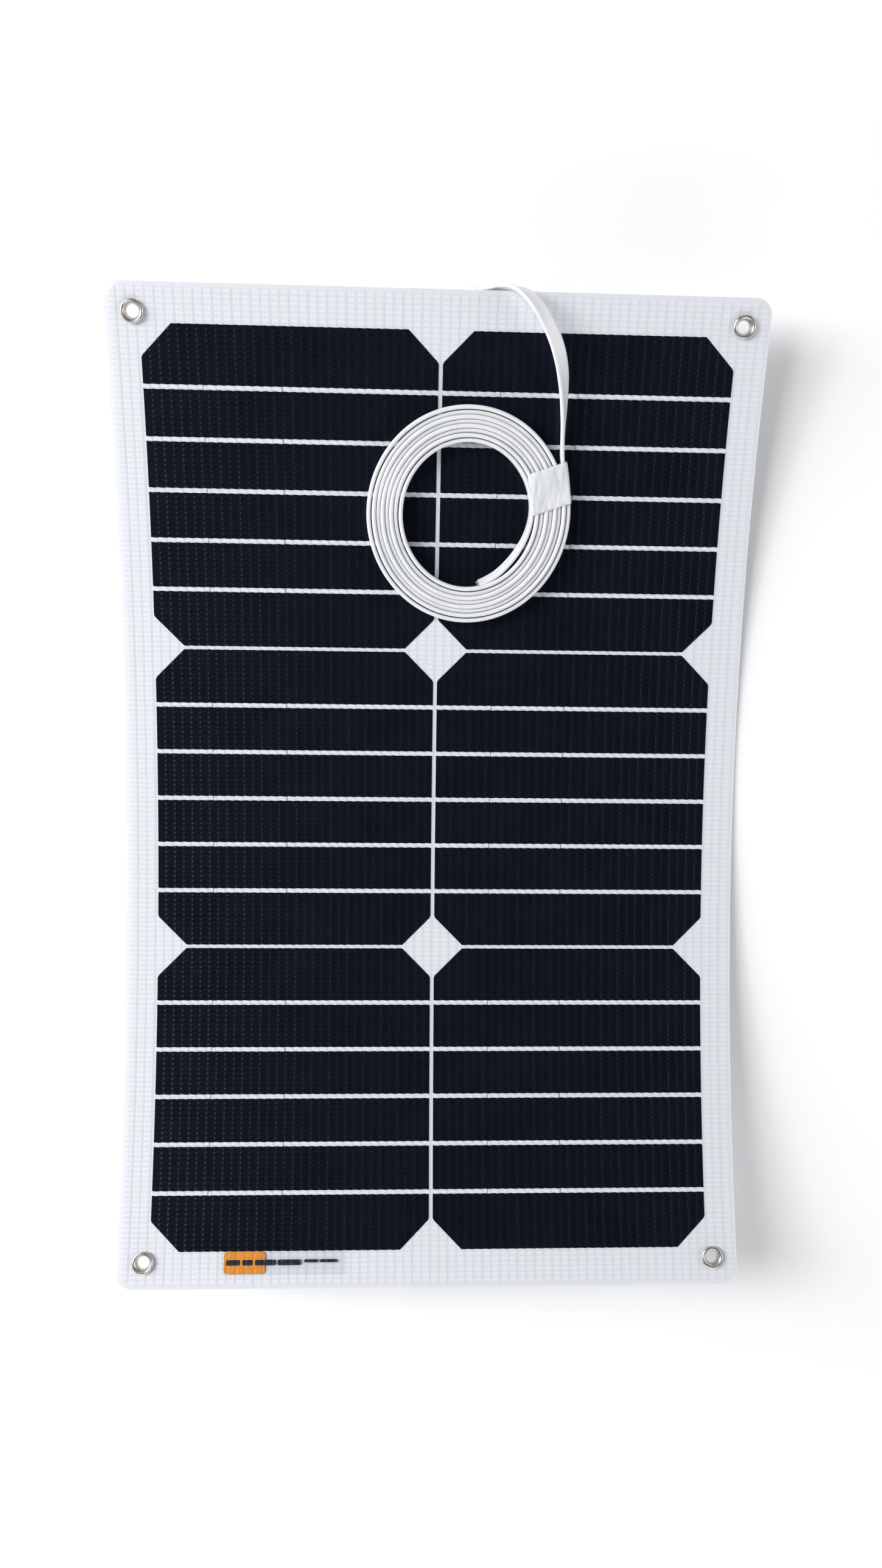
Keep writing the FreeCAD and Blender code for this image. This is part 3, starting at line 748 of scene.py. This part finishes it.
def make_ribbons(materials):
    """The wide ribbons that join the columns at each end, hidden under the white layer."""
    for node, end, side in (("cross_ribbon", "bottom", -1), ("output_ribbons", "top", 1)):
        low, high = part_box(node)
        middle = side * (1.5 * ROW_PITCH - RIBBON_INSET)
        u, s = np.meshgrid(np.linspace(low.x, high.x, 60),
                           middle + RIBBON_WIDTH / 2 * np.linspace(-1, 1, 7))
        keep = np.ones((u.shape[0] - 1) * (u.shape[1] - 1), bool)
        ribbon = sheet_piece("ribbon_" + end, u, s, flat(RIBBON_LEVEL), RIBBON_FOOT, keep,
                             materials["tab"], closed=True)
        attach(ribbon, end + "_slice")
        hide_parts(node)


def gap_middles():
    """Middles of a row's gaps between strips, from the row's own middle."""
    gaps = [0.0]
    for _, far in strip_spans()[:-1]:
        gaps += [side * (ROW_PITCH / 2 - far - STRIP_GAP / 2) for side in (-1, 1)]
    return gaps


def make_tabs(zone, materials):
    """Tinned tabs that join each strip to the next, seen as thin lines across the gaps."""
    across = TAB_WIDTH * np.array([-0.5, -0.3, 0.3, 0.5])
    along = TAB_REACH * np.linspace(-1, 1, 7)
    crown = TAB_ROUND * np.array([-1, 0, 0, -1])
    places = [middle + gap for middle in ROW_MIDDLES for gap in gap_middles()]
    slabs = []
    for place in (p for p in places if zone.low <= p < zone.high):
        for left in (-COLUMN_GAP / 2 - CELL_WIDTH, COLUMN_GAP / 2):
            for inset in TAB_INSETS:
                u, s = np.meshgrid(left + inset + across, place + along)
                slabs.append(slab(u, s, TAB_LEVEL + crown, TAB_LEVEL - TAB_THICK))
    if slabs:
        tabs = make_object("tabs_" + zone.name, *merged(slabs), materials["tab"])
        zone.follow(tabs, "tab_copper", ("cell_tabs",))


# ---- eyelets and label

def make_eyelets(materials):
    """Rolled eyelets with their washers behind, from (radius, height) profiles in millimetres."""
    head = [(4.74, -0.14), (4.90, 0.24), (4.70, 0.72), (4.22, 0.98), (3.66, 0.84), (3.24, 0.38),
            (2.92, -0.25), (2.66, -1.00), (2.54, -1.80), (2.54, -2.50), (2.74, -3.05),
            (3.20, -3.30), (3.85, -3.22), (4.12, -2.92), (3.95, -2.72), (3.30, -2.70),
            (3.16, -2.30), (3.14, -0.60), (3.50, -0.30), (4.30, -0.28)]
    washer = [(3.22, -2.22), (4.90, -2.22), (4.96, -2.40), (4.70, -2.66), (4.10, -2.72),
              (3.22, -2.70)]
    names = ("bottom_left", "bottom_right", "top_left", "top_right")
    for name, (u, s) in zip(names, eyelet_places()):
        end = name.split("_")[0]
        place = Place(u, s)
        eyelet = lathe("eyelet_" + name, place, softened(head, 2)[::-1] * MM, materials["eyelet"])
        ring = lathe("eyelet_washer_" + name, place, softened(washer, 1)[::-1] * MM,
                     materials["eyelet"])
        for piece, node in ((eyelet, "eyelets_"), (ring, "eyelet_washers_")):
            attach(piece, end + "_slice")
            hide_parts(node + end)


def label_patch(name, shape, radius, lift, material):
    """A thin plate on the label that follows the embossing, with round corners."""
    start, long, low_edge, high_edge = shape
    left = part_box("label")[0].x
    u0, u1 = left + start, left + start + long
    s0, s1 = LABEL_FOOT + low_edge, LABEL_FOOT + high_edge
    us = np.linspace(u0, u1, max(int((u1 - u0) / 0.0005), 6))
    ss = np.linspace(s0, s1, max(int((s1 - s0) / 0.0004), 5))
    u, s = rounded_grid(us, ss, ((u0 + u1) / 2, (s0 + s1) / 2), ((u1 - u0) / 2, (s1 - s0) / 2),
                        radius)

    def height(x, y):
        return lift - 0.7 * FILM_RELIEF * relief(x, y)

    keep = np.ones((u.shape[0] - 1) * (u.shape[1] - 1), bool)
    piece = sheet_piece(name, u, s, height, height(u, s) - LABEL_WALL, keep, material)
    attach(piece, "bottom_slice")
    return piece


def make_label(materials):
    """A clear label with a plain orange block and plain bars, which say nothing."""
    low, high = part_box("label")
    whole = (0.0, high.x - low.x, 0.0, LABEL_TALL)
    clear = label_patch("label_clear", whole, 0.0008, 0.00015, materials["label_film"])
    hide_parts("label")
    label_patch("label_block", LABEL_BLOCK, 0.0016, 0.00004, materials["orange"])
    for number, bar in enumerate(LABEL_BARS):
        label_patch(f"label_bar_{number}", bar, 0.0004, 0.00010, materials["ink"])


# ---- junction box

def boot_profile():
    """(radius, distance from the box) along the ribbed boot, from inside the box to its mouth."""
    profile = [(0.0030, -0.0030), (0.00335, -0.0002), (0.0034, 0.0004)]
    for rib in range(4):
        middle = 0.0012 + 0.0016 * rib
        wide = 0.00335 - 0.00008 * rib
        narrow = wide - 0.0005
        profile += [(wide, middle - 0.0003), (wide, middle + 0.0003),
                    (narrow, middle + 0.0006), (narrow, middle + 0.0010)]
    return np.array(profile + [(0.0029, 0.0076), (0.0028, BOOT_LENGTH), (0.0012, BOOT_LENGTH)])


def make_boot(place, materials):
    """The cable's rubber boot, on the side of the box that faces the sheet's edge."""
    profile = boot_profile()
    steps = np.arange(40) * 2 * math.pi / 40
    rings = np.stack([np.outer(profile[:, 0], np.cos(steps)),
                      np.broadcast_to(profile[:, 1:] + BOX_HALF[1], (len(profile), len(steps))),
                      -np.outer(profile[:, 0], np.sin(steps)) - CABLE_DEPTH], -1)
    return ring_mesh("cable_boot", place.put(rings), materials["rubber"], caps=True)


def make_box(materials):
    """The junction box behind the top end: pad, tray, lid and the cable's boot."""
    place = Place(*BOX_PLACE, -STACK)
    half_x, half_y = BOX_HALF
    pad = stacked("box_pad_foam", place, half_x - 0.002, half_y - 0.002, BOX_CORNER - 0.001,
                  [(0.0002, -0.0008), (0.0, -0.0006), (0.0, -0.0002), (0.0003, 0.0002)],
                  materials["pad"])
    tray = stacked("box_tray", place, half_x, half_y, BOX_CORNER,
                   [(0.0003, -0.0066), (0.0001, -0.0064), (0.0, -0.0030), (0.0, -0.0016),
                    (-0.0006, -0.0013), (-0.0006, -0.0010), (0.0004, -0.0008)],
                   materials["plastic"])
    lid = stacked("box_cover", place, half_x, half_y, BOX_CORNER,
                  [(0.0042, -0.00755), (0.0038, -0.00760), (0.0034, -0.00800), (0.0014, -0.00800),
                   (0.0004, -0.00765), (0.0, -0.00715), (0.0, -0.00670), (0.0003, -0.00660)],
                  materials["plastic"])
    boot = make_boot(place, materials)
    for piece, node, slot in ((pad, "box_pad", "pad"), (tray, "box_base", "box_plastic"),
                              (lid, "box_lid", "box_plastic"),
                              (boot, "strain_relief", "box_rubber")):
        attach(piece, "top_slice")
        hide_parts(node)


def finish_hidden_nodes(materials):
    """Materials for the CAD nodes that stay: what the box holds."""
    for node, key in (("bypass_diode", "diode"), ("output_terminals", "brass")):
        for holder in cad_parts[node].material_slots:
            holder.material = materials[key]


# ---- cable

# The lead's way from the boot over the sheet's edge to the coil, as (u, s, n), and the way that
# the cable's width points there, from the edge that faces the viewer to the other one.
LEAD = [
    ((0.0140, 0.2185, -0.0095), (0.90, -0.20, -0.40)),
    ((0.0225, 0.2206, -0.0062), (0.64, -0.45, -0.62)),
    ((0.0272, 0.2216, -0.0012), (0.60, -0.28, -0.75)),
    ((0.0310, 0.2212, 0.0036), (0.60, 0.10, -0.78)),
    ((0.0345, 0.2192, 0.0073), (0.68, 0.40, -0.62)),
    ((0.0388, 0.2152, 0.0100), (0.78, 0.52, -0.35)),
    ((0.0433, 0.2084, 0.0113), (0.86, 0.48, -0.20)),
    ((0.0474, 0.2006, 0.0112), (0.93, 0.25, -0.25)),
    ((0.0503, 0.1920, 0.0098), (0.80, 0.08, -0.55)),
    ((0.0520, 0.1826, 0.0075), (0.50, 0.02, -0.86)),
    ((0.0528, 0.1720, 0.0054), (0.22, 0.00, -0.97)),
    ((0.0530, 0.1610, 0.0043), (0.08, 0.00, -1.00)),
    ((0.0532, 0.1520, 0.0040), (0.05, 0.00, -1.00)),
]


def lead_start():
    """Where the cable leaves its boot, and one point further along the boot's line."""
    mouth = BOX_HALF[1] + BOOT_LENGTH
    return Place(*BOX_PLACE, -STACK).put([(0, mouth, -CABLE_DEPTH),
                                          (0, mouth + 1.7 * CABLE_WIDTH, -CABLE_DEPTH)])


def coil_points():
    """The coil's turns, from outside in: (u, s, n) and the way the cable's width points at each.

    fill_out makes up for the line's cutting inside its control points.
    """
    points, widths = [], []
    fill_out = 1 / math.cos(math.pi / COIL_STEPS)
    steps = range(-1, int(COIL_TURNS * COIL_STEPS) + 1)
    for turns in [*(k / COIL_STEPS for k in steps), COIL_TURNS]:
        angle = -2 * math.pi * turns
        inset = (COIL_PITCH * turns + OUTER_GAP * smooth(turns - 0.4)
                 + INNER_GAP * smooth((turns - 6.4) / 0.9)
                 + TAIL_PEEL * (smooth((turns - 7.97) / 0.14) - 0.9 * smooth((turns - 8.12) / 0.1)))
        uneven = 1 + 0.004 * math.sin(2 * angle + 0.6) + 0.003 * math.sin(3 * angle)
        ru, rs = ((r - inset) * fill_out * uneven for r in COIL_RADII)
        swap = math.tanh(6 * math.sin(math.pi * (turns - 0.55)))
        level = COIL_LEVEL + TURN_LIFT * swap + 0.0004 * smooth((turns - 7.9) / 0.3)
        points.append((COIL_MIDDLE[0] + ru * math.cos(angle), COIL_MIDDLE[1] + rs * math.sin(angle),
                       level))
        lean = TAIL_LEAN * smooth((turns - 7.95) / 0.28)
        widths.append((-math.cos(angle) * math.sin(lean), -math.sin(angle) * math.sin(lean),
                       -math.cos(lean)))
    return points, widths


def smooth_line(controls, resolution):
    """Points along the NURBS line of the control points."""
    curve = bpy.data.curves.new("route", "CURVE")
    curve.dimensions = "3D"
    curve.resolution_u = resolution
    spline = curve.splines.new("NURBS")
    spline.points.add(len(controls) - 1)
    for point, control in zip(spline.points, controls):
        point.co = (*control, 1.0)
    spline.order_u = 3
    spline.use_endpoint_u = True
    spline.resolution_u = resolution
    holder = bpy.data.objects.new("route", curve)
    bpy.context.scene.collection.objects.link(holder)
    graph = bpy.context.evaluated_depsgraph_get()
    mesh = bpy.data.meshes.new_from_object(holder.evaluated_get(graph))
    points = np.array([v.co for v in mesh.vertices])
    bpy.data.objects.remove(holder)
    bpy.data.curves.remove(curve)
    bpy.data.meshes.remove(mesh)
    return points


def cable_section():
    """A flat two-core section: round edges and a shallow waist, as (along the width, across)."""
    half, thick = CABLE_WIDTH / 2, CABLE_THICK / 2
    points = []
    for side in (1, -1):
        for k in range(9):
            angle = math.pi * (k / 8 - 0.5)
            points.append((side * (half - thick + thick * math.cos(angle)),
                           side * thick * math.sin(angle)))
        for share in (0.5, 0.0, -0.5):
            waist = 1 - CABLE_WAIST * (1 - share ** 2)
            points.append((side * share * (half - thick), side * thick * waist))
    return np.array(points)


def sweep(path, widths, section):
    """Rings of a section along a path; the section's first axis points along the widths."""
    ahead = unit(np.gradient(path, axis=0))
    widths = unit(widths - (widths * ahead).sum(-1, keepdims=True) * ahead)
    across = np.cross(ahead, widths)
    return (path[:, None, :] + section[None, :, :1] * widths[:, None, :]
            + section[None, :, 1:] * across[:, None, :])


def cable_route():
    """The whole cable: its line and the way its width points at each point of the line."""
    start = lead_start()
    coil, coil_widths = coil_points()
    places = [place for place, _ in LEAD] + coil
    hints = [hint for _, hint in LEAD] + coil_widths
    controls = [*start, *on_sheet(*np.array(places).T)]
    first = direction(1, 0, 0, BOX_PLACE[1])
    turned = [first, first, *[direction(*hint, place[1]) for hint, place in zip(hints, places)]]
    line = smooth_line(controls, resolution=7)
    where = np.linspace(0, len(controls) - 1, len(line))
    widths = np.stack([np.interp(where, np.arange(len(controls)), axis)
                       for axis in np.array(turned).T], -1)
    return line, widths


def follow_coil(piece):
    """The piece lies across the joint between the two upper slices."""
    zone = ZONES[5]
    tuple(on_sheet(0, zone.low, 0))
    tuple(on_sheet(0, zone.high, 0))
    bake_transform(piece)


def make_cores(line, widths, materials):
    """Two bare stranded cores at the cable's cut end, six strands round one in each."""
    ahead = unit(line[-1] - line[-2])
    wide = unit(widths[-1] - (widths[-1] @ ahead) * ahead)
    other = np.cross(ahead, wide)
    bare, core, strand, embedded = 0.0013, 0.00052, 0.00019, 0.0002
    off_middle = 0.27 * CABLE_WIDTH
    sides, steps = 8, 7
    ring = [(math.cos(2 * math.pi * k / sides), math.sin(2 * math.pi * k / sides))
            for k in range(sides)]
    points, faces = [], []
    for side in (-1, 1):
        for number in range(7):
            base = len(points)
            for run in np.linspace(0, 1, steps):
                turn = number * math.pi / 3 + 0.9 * run
                spread = 0.0 if number == 6 else core - strand
                centre = (line[-1] + ahead * (bare * run - embedded)
                          + wide * (side * off_middle + spread * math.cos(turn))
                          + other * (spread * math.sin(turn)))
                points += [centre + strand * (x * wide + y * other) for x, y in ring]
            for start in range(base, base + (steps - 1) * sides, sides):
                faces += [(start + k, start + (k + 1) % sides, start + (k + 1) % sides + sides,
                           start + k + sides) for k in range(sides)]
            last = base + (steps - 1) * sides
            faces.append([base + k for k in reversed(range(sides))])
            faces.append([last + k for k in range(sides)])
    cores = make_object("cable_core_wires", points, faces, materials["copper"],
                        sharp=math.radians(50))
    follow_coil(cores)
    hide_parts("cable_cores")
    return cores


def make_tape(materials):
    """Tape round the band of turns, where the lead joins them."""
    place = Place(*TAPE_PLACE, 0.0, TAPE_TURN)
    half_across, half_along = TAPE_HALF
    outline = rounded_outline(half_across, TURN_LIFT + CABLE_WIDTH / 2 + TAPE_SLACK, 0.0012, 6)
    loop = softened(outline + (0.0, COIL_LEVEL), 1)
    rings = []
    for y in np.linspace(-half_along, half_along, 15):
        bulge = 0.00010 * np.sin(loop[:, 0] * 2 * np.pi / COIL_PITCH + y * 150)
        uneven = 1 + 0.012 * math.sin(y * 300)
        ring = np.column_stack([loop[:, 0] * uneven + 0.13 * y - 3.0 * y * y,
                                y + 0.035 * loop[:, 0],
                                loop[:, 1] + np.where(loop[:, 1] > COIL_LEVEL, bulge, 0)])
        rings.append(place.put(ring))
    tape = ring_mesh("coil_tape_band", np.array(rings)[::-1], materials["tape"])
    solid = tape.modifiers.new("thickness", "SOLIDIFY")
    solid.thickness = TAPE_THICK
    follow_coil(tape)
    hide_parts("coil_tape")
    return tape


def make_cable(materials):
    """The cable from its boot to its cut end, with the tape and the bare cores."""
    line, widths = cable_route()
    rings = sweep(line, widths, cable_section())
    cable = ring_mesh("flat_cable", rings, materials["cable"], caps=True)
    cores = make_cores(line, widths, materials)
    tape = make_tape(materials)
    follow_coil(cable)
    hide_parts("cable_lead", "cable_coil")
    tuple(lead_start()[0])


# ---- studio

def make_camera():
    """A camera above the sheet, a little towards its top, looking nearly straight down.

    Its place and axes are given in a flat frame that touches the sheet's middle.
    """
    tilt = -BALANCE_SHIFT / FRONT_RADIUS
    turn = Matrix.Rotation(tilt, 3, "X")
    origin = Vector(on_sheet(0, 0, 0))
    place = Vector((-0.020197, 0.054079, 0.521072))
    right, up, forward = (Vector(v) for v in ((0.99895, 0.01228, 0.04406),
                                              (-0.00829, 0.99594, -0.08965),
                                              (0.04498, -0.08919, -0.99500)))
    data = bpy.data.cameras.new("camera")
    data.sensor_width = 36.0
    data.lens = 26.10
    data.clip_start, data.clip_end = 0.01, 20.0
    camera = bpy.data.objects.new("camera", data)
    axes = Matrix((turn @ right, turn @ up, -(turn @ forward))).transposed()
    camera.matrix_world = Matrix.Translation(origin + turn @ place) @ axes.to_4x4()
    bpy.context.scene.collection.objects.link(camera)
    bpy.context.scene.camera = camera


def area_light(name, place, size, power, colour=(1.0, 1.0, 1.0)):
    """A rectangular light that faces the middle of the sheet."""
    data = bpy.data.lights.new(name, "AREA")
    data.shape = "RECTANGLE"
    data.size, data.size_y = size
    data.energy = power
    data.color = colour
    light = bpy.data.objects.new(name, data)
    light.location = place
    light.rotation_mode = "QUATERNION"
    light.rotation_quaternion = (-Vector(place)).to_track_quat("-Z", "Y")
    bpy.context.scene.collection.objects.link(light)


def make_floor():
    """A wide pale floor just under the sheet, in rings so that it isn't one flat plate."""
    radii = (0.4, 0.8, 1.6, 3.2, 6.0)
    steps = 48
    turns = [2 * math.pi * k / steps for k in range(steps)]
    points = [(0, 0, 0)] + [(r * math.cos(t), r * math.sin(t), 0) for r in radii for t in turns]
    pairs = [(1 + k, 1 + (k + 1) % steps) for k in range(steps)]
    faces = [(0, a, b) for a, b in pairs]
    for base in range(0, (len(radii) - 1) * steps, steps):
        faces += [(a + base, a + base + steps, b + base + steps, b + base) for a, b in pairs]
    paper = mottled("studio_paper", (0.93, 0.93, 0.93), (0.95, 0.95, 0.95), 6.0, (0.8, 0.9),
                    (400.0, 0.05, 0.0001), specular=0.1)
    floor = make_object("studio_floor", np.array(points, float), faces, paper)
    floor.location.z = -0.0003


def make_world():
    """A pale room with a dim ceiling, so that the dark cells stay dark."""
    world = bpy.data.worlds.new("studio")
    world.use_nodes = True
    bpy.context.scene.world = world
    tree = world.node_tree
    where = tree.nodes.new("ShaderNodeTexCoord")
    parts = tree.nodes.new("ShaderNodeSeparateXYZ")
    tree.links.new(where.outputs["Generated"], parts.inputs["Vector"])
    colour = ramp(tree, parts.outputs["Z"], (0.90, 0.91, 0.93), (0.030, 0.035, 0.048), 0.5, 0.84)
    tree.links.new(colour, tree.nodes["Background"].inputs["Color"])
    tree.nodes["Background"].inputs["Strength"].default_value = 0.6


def make_studio():
    """Camera, room, floor and lights."""
    bpy.context.scene.view_settings.view_transform = "Standard"
    make_camera()
    make_world()
    make_floor()
    area_light("key", (-1.42, 0.55, 1.50), (1.05, 1.05), 32.0, (1.0, 0.995, 0.985))
    area_light("left", (-1.75, 0.5, 0.8), (0.7, 1.1), 21.0)
    area_light("near", (0.25, -1.6, 0.6), (1.8, 0.6), 11.0)
    area_light("right", (1.7, 0.0, 1.15), (1.1, 1.3), 11.0, (0.97, 0.98, 1.0))


ZONES = make_zones()


def build():
    """Every piece, in the order that later ones rely on."""
    materials = make_materials()
    make_studio()
    make_cable(materials)
    for zone in ZONES:
        make_skins(zone, materials)
        make_cells(zone, materials)
        make_tabs(zone, materials)
    make_ribbons(materials)
    make_eyelets(materials)
    make_label(materials)
    make_box(materials)
    finish_hidden_nodes(materials)


build()
